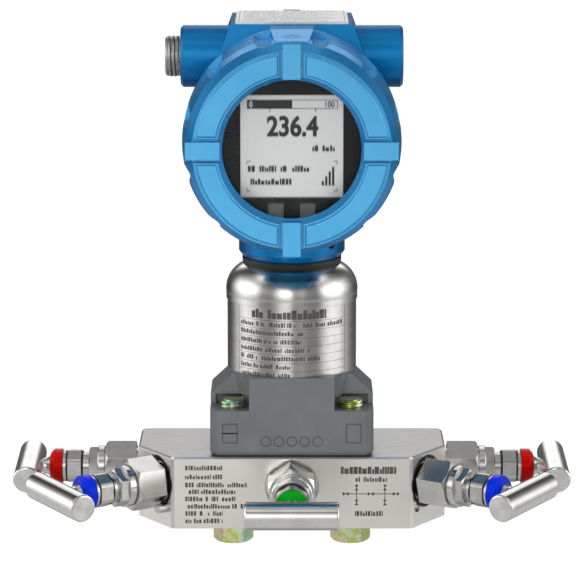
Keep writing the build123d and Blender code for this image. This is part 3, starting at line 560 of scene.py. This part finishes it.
# Block: print on its front, in mm from the middle and down from the top edge
# Rows of strokes at the left: how far down and how long, then what all of them share
BLOCK_ROWS = [(5.0, 17.2), (9.2, 17.2), (13.0, 28.4), (16.2, 23.2), (19.6, 23.2), (23.1, 27.9),
              (26.5, 17.2), (30.0, 17.2)]
BLOCK_LEFT, BLOCK_ROW_HIGH, BLOCK_SEED = -48.9, 2.2, 20
# Rows at the right, over and under the plan: left, top, right, height, seed and filled share
PLAN_ROWS = [(22.4, 4.4, 48.0, 3.4, 41, HEAVY), (29.2, 9.2, 43.8, 2.3, 42, FINE),
             (29.0, 25.4, 42.0, 2.3, 43, FINE)]
# The plan of the five valves: a main line with two branches, and a valve's drawing sign at five places
PLAN_MIDDLE, PLAN_LEVEL, PLAN_HALF, PLAN_LINE_HALF = 36.2, 17.2, 13.0, 0.18
BRANCH_ASIDE, BRANCH_TOP, BRANCH_BOTTOM = 6.5, 12.6, 22.0
BRANCH_SIGNS = (14.3, 21.3)
MAIN_SIGN_ASIDE = 11.5
SIGN_HALF, BRANCH_SIGN_LONG, MAIN_SIGN_LONG = 0.9, 1.3, 1.4


def block_marks():
    low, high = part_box("manifold_block")

    def place(across, down):
        return (across * MM, low.y - PRINT_PROUD * MM, high.z - down * MM)

    marks = []
    for index, (down, length) in enumerate(BLOCK_ROWS):
        marks += dashes(BLOCK_LEFT, down - BLOCK_ROW_HIGH / 2, BLOCK_LEFT + length, BLOCK_ROW_HIGH,
                        BLOCK_SEED + index)
    for row in PLAN_ROWS:
        marks += dashes(*row)
    marks += oblong(PLAN_MIDDLE - PLAN_HALF, PLAN_LEVEL - PLAN_LINE_HALF, PLAN_MIDDLE + PLAN_HALF,
                    PLAN_LEVEL + PLAN_LINE_HALF)
    for x in (PLAN_MIDDLE - BRANCH_ASIDE, PLAN_MIDDLE + BRANCH_ASIDE):
        marks += oblong(x - PLAN_LINE_HALF, BRANCH_TOP, x + PLAN_LINE_HALF, BRANCH_BOTTOM)
        for level in BRANCH_SIGNS:
            top, bottom = level - BRANCH_SIGN_LONG, level + BRANCH_SIGN_LONG
            marks += [[(x - SIGN_HALF, top), (x + SIGN_HALF, top), (x, level)],
                      [(x - SIGN_HALF, bottom), (x, level), (x + SIGN_HALF, bottom)]]
    above, under = PLAN_LEVEL - SIGN_HALF, PLAN_LEVEL + SIGN_HALF
    for x in (PLAN_MIDDLE - MAIN_SIGN_ASIDE, PLAN_MIDDLE, PLAN_MIDDLE + MAIN_SIGN_ASIDE):
        left, right = x - MAIN_SIGN_LONG, x + MAIN_SIGN_LONG
        marks += [[(left, above), (x, PLAN_LEVEL), (left, under)],
                  [(right, above), (right, under), (x, PLAN_LEVEL)]]
    printed("block_marks", marks, place, INK, "base")


# Module: a table etched round its wall, in mm from the middle and down from the module's top
MODULE_WALL_R = 29.8
TABLE_HALF, TABLE_TOP, TABLE_BOTTOM, TABLE_LINE = 28.2, 29.1, 62.0, 0.22
HEADING_LEFT, HEADING_RIGHT, HEADING_DOWN, HEADING_HIGH, HEADING_SEED = -19.6, 16.6, 1.8, 4.2, 61
HEADING_FILLED = 0.88
# The ruled lines, and under each a row of strokes with its length
FIRST_RULE_DOWN, RULE_STEP, RULE_LINE = 6.8, 3.9, 0.16
TABLE_ROWS = (53.0, 32.0, 31.0, 35.0, 40.0, 26.0, 26.0)
TABLE_ROW_LEFT, TABLE_ROW_DOWN, TABLE_ROW_HIGH, TABLE_SEED = -26.6, 0.9, 2.1, 70


def module_marks():
    top_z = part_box("module_shell")[1].z
    centre = middle("module_shell")
    wall = MODULE_WALL_R * MM

    def place(across, down):
        angle = across * MM / wall
        out = wall + PRINT_PROUD * MM
        return (centre.x + out * math.sin(angle), centre.y - out * math.cos(angle), top_z - down * MM)

    marks = line_frame(-TABLE_HALF, TABLE_TOP, TABLE_HALF, TABLE_BOTTOM, TABLE_LINE)
    marks += dashes(HEADING_LEFT, TABLE_TOP + HEADING_DOWN, HEADING_RIGHT, HEADING_HIGH, HEADING_SEED,
                    HEADING_FILLED)
    for index, length in enumerate(TABLE_ROWS):
        down = TABLE_TOP + FIRST_RULE_DOWN + RULE_STEP * index
        marks += oblong(-TABLE_HALF, down, TABLE_HALF, down + RULE_LINE)
        marks += dashes(TABLE_ROW_LEFT, down + TABLE_ROW_DOWN, TABLE_ROW_LEFT + length, TABLE_ROW_HIGH,
                        TABLE_SEED + index)
    printed("module_etching", marks, place, ETCHED, "base")


# Flange: marks cast in its front, rings and boxes, in mm from the middle and up from its foot
RING_APART, RING_UP, RING_OUTER, RING_INNER = 5.9, 6.7, 2.5, 1.95
RING_STEPS = 40
BOX_ASIDE, BOX_UP, BOX_HALF = 28.3, 10.5, 3.6
TALL_BOX_HALF, SMALL_BOX_HALF, SMALL_BOX_ASIDE = 4.6, 2.4, 2.2
BOX_LINE = 0.5
# The lines start under the skin and stand out of it by this much
CAST_SUNK, CAST_PROUD = -0.2, 0.12


def flange_marks():
    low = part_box("sensor_flange")[0]

    def ridge(outer, inner):
        """A raised band between two closed outlines, with sloping sides."""
        steps = [(outer, CAST_SUNK), (outer, CAST_PROUD), (inner, CAST_PROUD), (inner, CAST_SUNK)]
        rows = []
        for outline, out in steps:
            rows.append([mesh.verts.new((x * MM, low.y - out * MM, low.z + up * MM)) for x, up in outline])
        skin(mesh, rows)

    def circle(x, radius):
        turns = [FULL_TURN * index / RING_STEPS for index in range(RING_STEPS)]
        return [(x + radius * math.sin(turn), RING_UP + radius * math.cos(turn)) for turn in turns]

    def corners(x, up, half_wide, half_high):
        return [(x + a * half_wide, up + b * half_high) for a, b in ((-1, -1), (1, -1), (1, 1), (-1, 1))]

    def box(x, up, half_high):
        inner = corners(x, up, BOX_HALF - BOX_LINE, half_high - BOX_LINE)
        ridge(corners(x, up, BOX_HALF, half_high), inner)

    mesh = bmesh.new()
    for index in range(-2, 3):
        ridge(circle(RING_APART * index, RING_OUTER), circle(RING_APART * index, RING_INNER))
    box(BOX_ASIDE, BOX_UP, TALL_BOX_HALF)
    for offset in (-SMALL_BOX_ASIDE, SMALL_BOX_ASIDE):
        box(-BOX_ASIDE, BOX_UP + offset, SMALL_BOX_HALF)
    # The dark colour on the raised lines is painted shade
    make("flange_cast_marks", mesh, CAST_LINE_SHADE, "base")


# Valve caps: each has a low dome round the stem, as radius and height over the cap's face, in mm
DOME = [(7.0, -0.3), (7.05, 0.2), (6.9, 0.55), (6.5, 0.85), (5.9, 1.1), (5.2, 1.35), (4.6, 1.6), (4.3, 1.2)]


def cap_domes():
    colours = {part["node"]: part["material_slot"] for part in frame["record"]["subparts"]}
    for valve, way in WAYS.items():
        cap = valve + "_cap"
        mesh = lathed(DOME, face_centre(cap, cap, way), way)
        dome = make(valve + "_cap_dome", mesh, FINISHES[colours[cap]], valve + "_handle_body")
        dome.data.shade_smooth()


# Vent valves: a black ring in the recess round each bonnet, painted shade, as radius and height over the
# block's face
SEAT_SHADE_RING = [(9.3, -1.9), (9.3, -1.3), (9.8, -0.9), (11.3, -0.9), (11.8, -1.3), (11.8, -1.9)]


def seat_shade_rings():
    for valve in ("left_vent", "right_vent"):
        # Each black ring is a dark piece put in as the recess's painted shade
        mesh = lathed(SEAT_SHADE_RING, face_centre("manifold_block", valve + "_stem", WAYS[valve]), WAYS[valve])
        make(valve + "_seat_ring", mesh, RUBBER, "base")


# Neck: a black lip seal lies round the ring under it, as radius and height over the module's top, in mm
NECK_LIP = [(20.9, 1.85), (21.3, 2.05), (22.5, 3.3), (22.8, 3.35), (22.85, 2.6), (22.65, 0.6), (22.4, -0.1),
            (21.6, -0.1)]


def neck_lip():
    centre = middle("neck_ring")
    foot = Vector((centre.x, centre.y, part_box("neck_ring")[0].z))
    make("neck_lip", lathed(NECK_LIP, foot, UPWARD), RUBBER, "base").data.shade_smooth()


# Front cover: four raised pads on its face, between the bars. The bars stand this far out of the face
BAR_PROUD = 1.2
# Inner and outer radius, half the gap for a bar, and height, in mm, from the pad's foot to its top
PAD_STEPS = [(32.9, 41.9, 5.7, -0.1), (33.3, 41.4, 6.2, 0.55), (33.6, 41.1, 6.5, 0.75)]
ARC_STEPS = 24


def cover_segments():
    centre = middle("window_glass")
    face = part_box("front_cover")[0].y + BAR_PROUD * MM

    def arc(quarter, radius, gap, out):
        """Points round a quarter of the face, which keep clear of the bars by a gap."""
        clear = math.asin(gap / radius)
        start = quarter * math.pi / 2 + clear
        span = math.pi / 2 - 2 * clear
        angles = [start + span * index / ARC_STEPS for index in range(ARC_STEPS + 1)]
        return [(centre.x + radius * MM * math.sin(angle), face - out * MM,
                 centre.z + radius * MM * math.cos(angle)) for angle in angles]

    mesh = bmesh.new()
    for quarter in range(4):
        rows = []
        for inner, outer, gap, out in PAD_STEPS:
            rim = arc(quarter, outer, gap, out) + arc(quarter, inner, gap, out)[::-1]
            rows.append([mesh.verts.new(point) for point in rim])
        skin(mesh, rows)
        top = rows[-1]
        for index in range(ARC_STEPS):
            mesh.faces.new((top[index], top[index + 1], top[-index - 2], top[-index - 1]))
    make("cover_segments", mesh, LIT_COVER_PAINT, "front_cover_body")


# Top plate: a frame and rows of fine strokes, in mm from the middle and down from the rear edge
PLATE_HALF, PLATE_TOP, PLATE_BOTTOM, PLATE_LINE = 24.0, 1.2, 49.2, 0.3
PLATE_ROWS, PLATE_ROW_LEFT, PLATE_FIRST_ROW, PLATE_ROW_STEP = 9, -22.0, 4.0, 5.0
PLATE_ROW_RIGHTS = (20.0, 12.0, 17.0)
PLATE_ROW_HIGH, PLATE_SEED = 2.0, 90


def plate_marks():
    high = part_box("top_plate")[1]
    centre = middle("top_plate")

    def place(across, down):
        return (centre.x + across * MM, high.y - down * MM, high.z + PRINT_PROUD * MM)

    marks = line_frame(-PLATE_HALF, PLATE_TOP, PLATE_HALF, PLATE_BOTTOM, PLATE_LINE)
    for index in range(PLATE_ROWS):
        right = PLATE_ROW_RIGHTS[index % len(PLATE_ROW_RIGHTS)]
        marks += dashes(PLATE_ROW_LEFT, PLATE_FIRST_ROW + PLATE_ROW_STEP * index, right, PLATE_ROW_HIGH,
                        PLATE_SEED + index)
    printed("plate_marks", marks, place, FAINT_INK, "housing")


# Threads: steps in a turn, steps over which a thread fades in and out, its root under the rod's skin in mm,
# and half its foot as a share of the pitch
THREAD_STEPS, THREAD_FADE = 40, 14
THREAD_ROOT, THREAD_FOOT = 0.1, 0.42
# Radius of the rod, height of the crest, pitch and length, in mm, of the plug's and the bolts' threads
PLUG_THREAD = (9.0, 0.45, 1.9, 5.2)
BOLT_THREAD = (5.55, 0.3, 1.8, 3.6)
# The plug's thread starts this far in from its outer end, the bolts' this far under their tips
PLUG_THREAD_IN, BOLT_THREAD_DOWN = 6.3, 4.2
# From the edges of the four bolts' box to a bolt's axis: half a head across its corners and its flats
BOLT_HEAD_CORNER, BOLT_HEAD_HALF = 9.18, 7.95


def thread_ridge(name, start, way, sizes, material, body):
    """A pointed ridge wound round a rod, as a cut thread stands out."""
    radius, proud, pitch, length = sizes
    side = way.orthogonal().normalized()
    other = way.cross(side)
    steps = int(length / pitch * THREAD_STEPS)
    mesh = bmesh.new()
    rows = []
    for step in range(steps + 1):
        angle = FULL_TURN * step / THREAD_STEPS
        along = pitch * step / THREAD_STEPS
        fade = min(1.0, step / THREAD_FADE, (steps - step) / THREAD_FADE)
        out = side * math.cos(angle) + other * math.sin(angle)
        root, crest = radius - THREAD_ROOT, radius + proud * fade
        rows.append([mesh.verts.new(start + (out * height + way * (along + shift * pitch)) * MM)
                     for height, shift in ((root, -THREAD_FOOT), (crest, 0.0), (root, THREAD_FOOT))])
    mesh.faces.new(rows[0])
    skin(mesh, rows)
    mesh.faces.new(rows[-1])
    make(name, mesh, material, body)


def threads():
    centre = middle("conduit_plug")
    start = Vector((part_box("conduit_plug")[0].x + PLUG_THREAD_IN * MM, centre.y, centre.z))
    outward = Vector((-1, 0, 0))
    thread_ridge("plug_thread", start, outward, PLUG_THREAD, OILED_STEEL, "housing")
    low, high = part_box("flange_bolts")
    corner, half = BOLT_HEAD_CORNER * MM, BOLT_HEAD_HALF * MM
    for side_x, x in (("left", low.x + corner), ("right", high.x - corner)):
        for side_y, y in (("front", low.y + half), ("rear", high.y - half)):
            start = Vector((x, y, high.z - BOLT_THREAD_DOWN * MM))
            name = "bolt_thread_%s_%s" % (side_x, side_y)
            thread_ridge(name, start, UPWARD, BOLT_THREAD, FINISHES["yellow_zinc"], "base")


display_marks()
block_marks()
module_marks()
flange_marks()
cap_domes()
seat_shade_rings()
neck_lip()
cover_segments()
plate_marks()
threads()


# Floor: a white sheet that glows to the camera, keeps the part's shadow and stays out of reflections
FLOOR_RADIUS, FLOOR_DROP = 3.0, 0.2
FLOOR_GLOW, FLOOR_GLOW_SHARE = 1.12, 0.86


def white_floor():
    # Matt white sheet: white to the eye, and a mid grey in what it throws up at the part
    material, tree, shader = started("white_studio_floor", Roughness=0.6)
    path = add(tree, "LightPath")
    bounce = {SHARE: path.outputs["Is Diffuse Ray"], FROM: linear("#e8e8e8"), TO: linear("#8c8c8c")}
    bounce = add(tree, "Mix", bounce, data_type="RGBA").outputs[MIXED]
    tree.links.new(bounce, shader.inputs["Base Color"])
    glow = add(tree, "Emission", {"Color": linear("#ffffff"), "Strength": FLOOR_GLOW})
    share = add(tree, "Math", {0: path.outputs["Is Camera Ray"], 1: FLOOR_GLOW_SHARE}, operation="MULTIPLY")
    seen = add(tree, "MixShader", {0: share.outputs[0], 1: shader.outputs[0], 2: glow.outputs[0]})
    clear = add(tree, "BsdfTransparent")
    both = {0: path.outputs["Is Glossy Ray"], 1: seen.outputs[0], 2: clear.outputs[0]}
    both = add(tree, "MixShader", both)
    tree.links.new(both.outputs[0], tree.nodes["Material Output"].inputs["Surface"])
    sheet = bmesh.new()
    bmesh.ops.create_circle(sheet, cap_ends=True, segments=64, radius=FLOOR_RADIUS)
    data = bpy.data.meshes.new("floor")
    sheet.to_mesh(data)
    sheet.free()
    data.materials.append(material)
    floor = bpy.data.objects.new("floor", data)
    floor.location.z = -FLOOR_DROP * MM
    scene.collection.objects.link(floor)


# Room: bright panels with dark gaps between, which show only in what steel, glass and paint reflect
# Round it, as degrees to the right of the camera's side and brightness: a dark corner, a window, a gap, the
# panel beside the camera, a wide gap, a window and a dark corner
CORNER_AT_LEFT = [(-180, 0.05), (-140, 0.06), (-130, 0.22)]
WINDOW_AT_LEFT = [(-117, 0.75), (-107, 1.15), (-90, 1.8), (-76, 1.4), (-66, 1.0)]
GAP_AT_LEFT = [(-58, 0.45), (-50, 0.3), (-38, 0.26), (-30, 0.5)]
CAMERA_PANEL = [(-18, 1.35), (-10, 1.5), (-3, 1.25)]
GAP_AT_RIGHT = [(2, 0.5), (7, 0.3), (13, 0.35), (18, 0.42), (24, 0.3), (30, 0.22), (44, 0.2), (50, 0.4)]
WINDOW_AT_RIGHT = [(57, 1.0), (64, 1.4), (74, 1.8), (92, 1.7), (102, 1.05), (112, 0.65), (122, 0.35)]
CORNER_AT_RIGHT = [(135, 0.12), (180, 0.05)]
WALLS = (CORNER_AT_LEFT + WINDOW_AT_LEFT + GAP_AT_LEFT + CAMERA_PANEL + GAP_AT_RIGHT + WINDOW_AT_RIGHT
         + CORNER_AT_RIGHT)
# From the horizon up, in degrees, in front and at the sides: the walls' foot, the panels, a gap over them,
# and the lamps overhead with the ceiling
WALL_FOOT = [(-20, 0.8), (-12, 0.82), (-4, 0.9)]
PANELS_UP = [(2, 1.4), (8, 1.75), (22, 1.75), (30, 0.9)]
GAP_ABOVE = [(38, 0.42), (47, 0.42)]
OVERHEAD = [(56, 1.2), (64, 1.6), (76, 1.3), (90, 0.7)]
FRONT_RISE = WALL_FOOT + PANELS_UP + GAP_ABOVE + OVERHEAD
# Behind the part: the table, a dark edge, a low bright strip, a panel over it, and the ceiling
TABLE_BEHIND = [(-90, 0.35), (-40, 0.35), (-25, 0.3), (-14, 0.1), (8, 0.14)]
STRIP_BEHIND = [(13, 0.35), (16, 1.3), (19, 2.2), (24, 1.4), (30, 0.8)]
PANEL_BEHIND = [(38, 1.3), (48, 1.4), (52, 0.8)]
CEILING_BEHIND = [(62, 0.4), (76, 0.4), (90, 0.7)]
REAR_RISE = TABLE_BEHIND + STRIP_BEHIND + PANEL_BEHIND + CEILING_BEHIND
# The rear begins between these degrees to either side, and overhead between these heights of a unit ray
REAR_NEAR, REAR_FAR = 152, 163
STEEP_LOW, STEEP_HIGH = 0.8, 0.95
# The floor begins between these degrees and looks the same from every side
FLOOR_NEAR, FLOOR_FAR = -12, -20
FLOOR_LIGHT = 0.62
# What falls on matt surfaces from all round
SOFT_LIGHT = 0.45


def round_share(degrees):
    return (degrees + 180) / 360


def rise_share(degrees):
    return (degrees + 90) / 180


def ray_angle(tree, feeds, operation, limit):
    """An angle of the ray as a share, from minus the limit to the limit."""
    angle = add(tree, "Math", feeds, operation=operation).outputs[0]
    return add(tree, "MapRange", {"Value": angle, "From Min": -limit, "From Max": limit}).outputs["Result"]


def studio_room():
    """World light by direction: bright panels left, right and behind the camera, and a dark rear."""
    world = bpy.data.worlds.new("studio_room")
    scene.world = world
    world.use_nodes = True
    tree = world.node_tree
    tree.nodes.clear()
    ray = add(tree, "SeparateXYZ", {"Vector": add(tree, "TexCoord").outputs["Generated"]}).outputs
    ahead = add(tree, "Math", {0: ray["Y"], 1: -1.0}, operation="MULTIPLY").outputs[0]
    turn = ray_angle(tree, {0: ray["X"], 1: ahead}, "ARCTAN2", math.pi)
    rise = ray_angle(tree, {0: ray["Z"]}, "ARCSINE", math.pi / 2)
    round_stops = [(round_share(angle), light) for angle, light in WALLS]
    front_stops = [(rise_share(angle), light) for angle, light in FRONT_RISE]
    rear_stops = [(rise_share(angle), light) for angle, light in REAR_RISE]
    walls = add(tree, "ValToRGB", {"Fac": turn}, stops=round_stops)
    front = add(tree, "ValToRGB", {"Fac": rise}, stops=front_stops)
    rear = add(tree, "ValToRGB", {"Fac": rise}, stops=rear_stops)
    lit = {SHARE: 1.0, FROM: walls.outputs["Color"], TO: front.outputs["Color"]}
    lit = add(tree, "Mix", lit, data_type="RGBA", blend_type="MULTIPLY").outputs[MIXED]
    low = {"Value": rise, "From Min": rise_share(FLOOR_NEAR), "From Max": rise_share(FLOOR_FAR)}
    low = add(tree, "MapRange", low).outputs["Result"]
    lit = {SHARE: low, FROM: lit, TO: (FLOOR_LIGHT,) * 3 + (1.0,)}
    lit = add(tree, "Mix", lit, data_type="RGBA").outputs[MIXED]
    aside = add(tree, "Math", {0: turn, 1: 0.5}, operation="SUBTRACT").outputs[0]
    aside = add(tree, "Math", {0: aside}, operation="ABSOLUTE").outputs[0]
    back = {"Value": aside, "From Min": REAR_NEAR / 360, "From Max": REAR_FAR / 360}
    back = add(tree, "MapRange", back).outputs["Result"]
    steep = add(tree, "MapRange", {"Value": ray["Z"], "From Min": STEEP_LOW, "From Max": STEEP_HIGH})
    back = add(tree, "Math", {0: back, 1: steep.outputs["Result"]}, operation="MAXIMUM").outputs[0]
    light = {SHARE: back, FROM: lit, TO: rear.outputs["Color"]}
    light = add(tree, "Mix", light, data_type="RGBA").outputs[MIXED]
    room = add(tree, "Background", {"Color": light, "Strength": 1.0})
    soft = add(tree, "Background", {"Color": linear("#ffffff"), "Strength": SOFT_LIGHT})
    white = add(tree, "Background", {"Color": linear("#ffffff"), "Strength": 1.0})
    path = add(tree, "LightPath").outputs
    both = add(tree, "MixShader", {0: path["Is Diffuse Ray"], 1: room.outputs[0], 2: soft.outputs[0]})
    seen = {0: path["Is Camera Ray"], 1: path["Is Transmission Ray"]}
    seen = add(tree, "Math", seen, operation="MAXIMUM")
    both = add(tree, "MixShader", {0: seen.outputs[0], 1: both.outputs[0], 2: white.outputs[0]})
    out = add(tree, "OutputWorld")
    tree.links.new(both.outputs[0], out.inputs["Surface"])


# Lamps: place and size in metres, and watts. They light matt surfaces, and reflections leave them out
LAMPS = {
    "key_front": ((-0.25, -1.5, 0.75), (0.8, 0.6), 5.5),
    # Close to the block, it lights the valves' undersides as a white table does
    "low_front": ((0.0, -0.34, 0.05), (0.3, 0.1), 0.55),
    "key_left": ((-1.1, -0.9, 0.9), (0.5, 0.7), 3.5),
    "fill_right": ((1.2, -0.7, 0.6), (0.5, 0.7), 2.0),
    "top": ((0.0, 0.2, 1.5), (0.9, 0.6), 4.0),
}
LAMPS_AIM = Vector((0, 0, 0.12))


def soft_box(name, place, size, watts):
    lamp = bpy.data.lights.new(name, "AREA")
    lamp.shape = "RECTANGLE"
    lamp.size, lamp.size_y = size
    lamp.energy = watts
    box = bpy.data.objects.new(name, lamp)
    box.location = place
    box.rotation_euler = (LAMPS_AIM - Vector(place)).to_track_quat("-Z", "Y").to_euler()
    box.visible_glossy = False
    scene.collection.objects.link(box)


# Camera: the photograph's, 1.4 m in front of the module, a little above, tilted down
CAMERA_PLACE = (0.0003, -1.385, 0.385)
CAMERA_TILT = 78.965
CAMERA_LENS = 189.75
CAMERA_NEAR, CAMERA_FAR = 0.05, 20.0


def camera():
    lens = bpy.data.cameras.new("camera")
    lens.lens = CAMERA_LENS
    lens.sensor_width = 36.0
    lens.clip_start, lens.clip_end = CAMERA_NEAR, CAMERA_FAR
    view = bpy.data.objects.new("camera", lens)
    view.location = CAMERA_PLACE
    view.rotation_euler = (math.radians(CAMERA_TILT), 0, 0)
    scene.collection.objects.link(view)
    scene.camera = view


white_floor()
studio_room()
for lamp_name, (lamp_place, lamp_size, lamp_watts) in LAMPS.items():
    soft_box(lamp_name, lamp_place, lamp_size, lamp_watts)
camera()
scene.view_settings.view_transform = "Standard"
